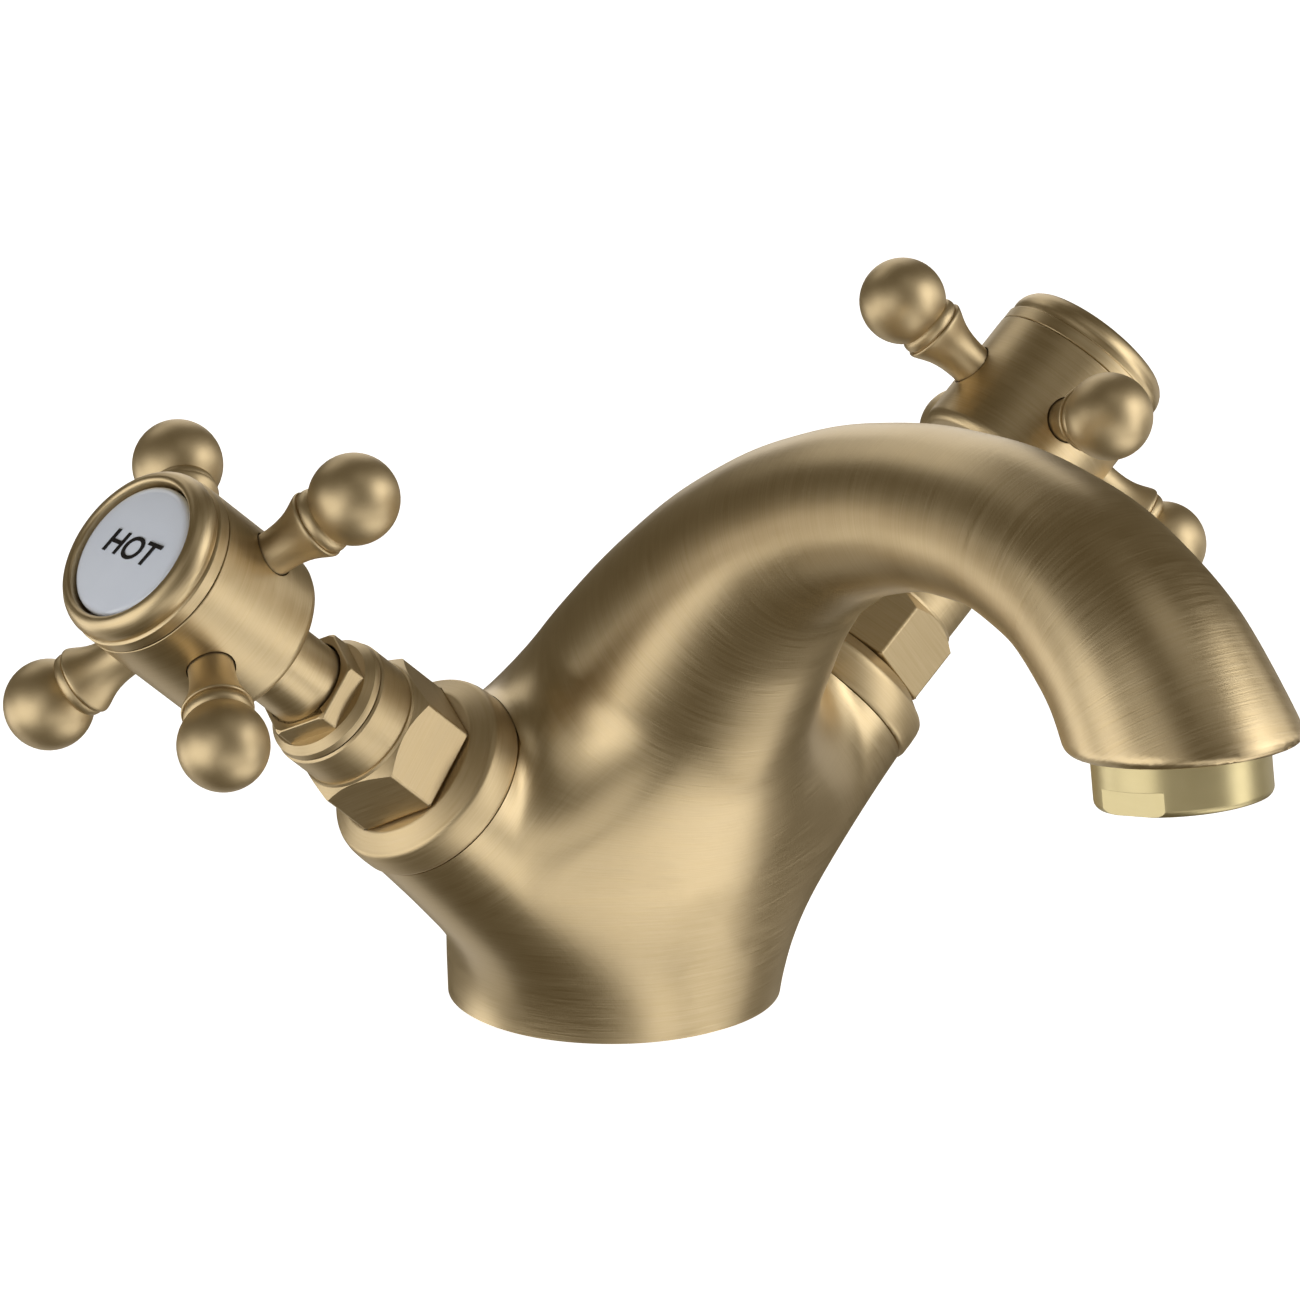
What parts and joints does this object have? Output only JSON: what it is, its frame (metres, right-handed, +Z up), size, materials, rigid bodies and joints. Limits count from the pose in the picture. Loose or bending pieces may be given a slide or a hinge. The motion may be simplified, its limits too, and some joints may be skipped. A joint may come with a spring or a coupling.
{
  "type": "bathroom mixer faucet",
  "caption": "Two-handle deck-mounted basin mixer: swan-neck spout on a round base, raised arms with quarter-turn ceramic valves and cross handles with porcelain index buttons.",
  "frame": {"origin": "centre of the round base on the deck surface", "axes": "+Z up from the deck, the spout points to -Y, the hot handle is at -X and the cold handle at +X"},
  "size_m": [0.195, 0.1723, 0.1041],
  "materials": {
    "brushed_brass": "satin",
    "polished_brass": "polished",
    "plain_brass": "satin",
    "steel": "satin",
    "porcelain": "gloss",
    "alumina": "satin",
    "rubber": "matte",
    "acetal": "satin"
  },
  "bodies": {
    "body": {"body_casting": "brushed_brass", "base_gasket": "rubber", "aerator_housing": "polished_brass", "aerator_insert": "acetal", "aerator_screen": "steel", "aerator_washer": "rubber", "hot_flange_ring": "brushed_brass", "hot_bonnet": "brushed_brass", "hot_gland_nut": "brushed_brass", "hot_cartridge_body": "plain_brass", "hot_fixed_disc": "alumina", "hot_seat_seal": "rubber", "hot_bonnet_o_ring": "rubber", "cold_flange_ring": "brushed_brass", "cold_bonnet": "brushed_brass", "cold_gland_nut": "brushed_brass", "cold_cartridge_body": "plain_brass", "cold_fixed_disc": "alumina", "cold_seat_seal": "rubber", "cold_bonnet_o_ring": "rubber"},
    "hot_handle": {"hot_moving_disc": "alumina", "hot_spindle": "plain_brass", "hot_spindle_o_ring": "rubber", "hot_retaining_clip": "steel", "hot_handle_sleeve": "brushed_brass", "hot_spline_insert": "acetal", "hot_handle_hub": "brushed_brass", "hot_spoke_1": "brushed_brass", "hot_spoke_2": "brushed_brass", "hot_spoke_3": "brushed_brass", "hot_spoke_4": "brushed_brass", "hot_bezel_ring": "brushed_brass", "hot_index_button": "porcelain", "hot_handle_screw": "steel"},
    "cold_handle": {"cold_moving_disc": "alumina", "cold_spindle": "plain_brass", "cold_spindle_o_ring": "rubber", "cold_retaining_clip": "steel", "cold_handle_sleeve": "brushed_brass", "cold_spline_insert": "acetal", "cold_handle_hub": "brushed_brass", "cold_spoke_1": "brushed_brass", "cold_spoke_2": "brushed_brass", "cold_spoke_3": "brushed_brass", "cold_spoke_4": "brushed_brass", "cold_bezel_ring": "brushed_brass", "cold_index_button": "porcelain", "cold_handle_screw": "steel"}
  },
  "joints": [
    {"name": "hot_valve_turn", "type": "hinge", "parent": "body", "child": "hot_handle", "pos_m": [-0.07558, -0.00467, 0.0748], "axis": [-0.7559, 0, 0.6547], "range_deg": [0, 90]},
    {"name": "cold_valve_turn", "type": "hinge", "parent": "body", "child": "cold_handle", "pos_m": [0.07558, -0.00467, 0.0748], "axis": [0.7559, 0, 0.6547], "range_deg": [0, 90]}
  ]
}
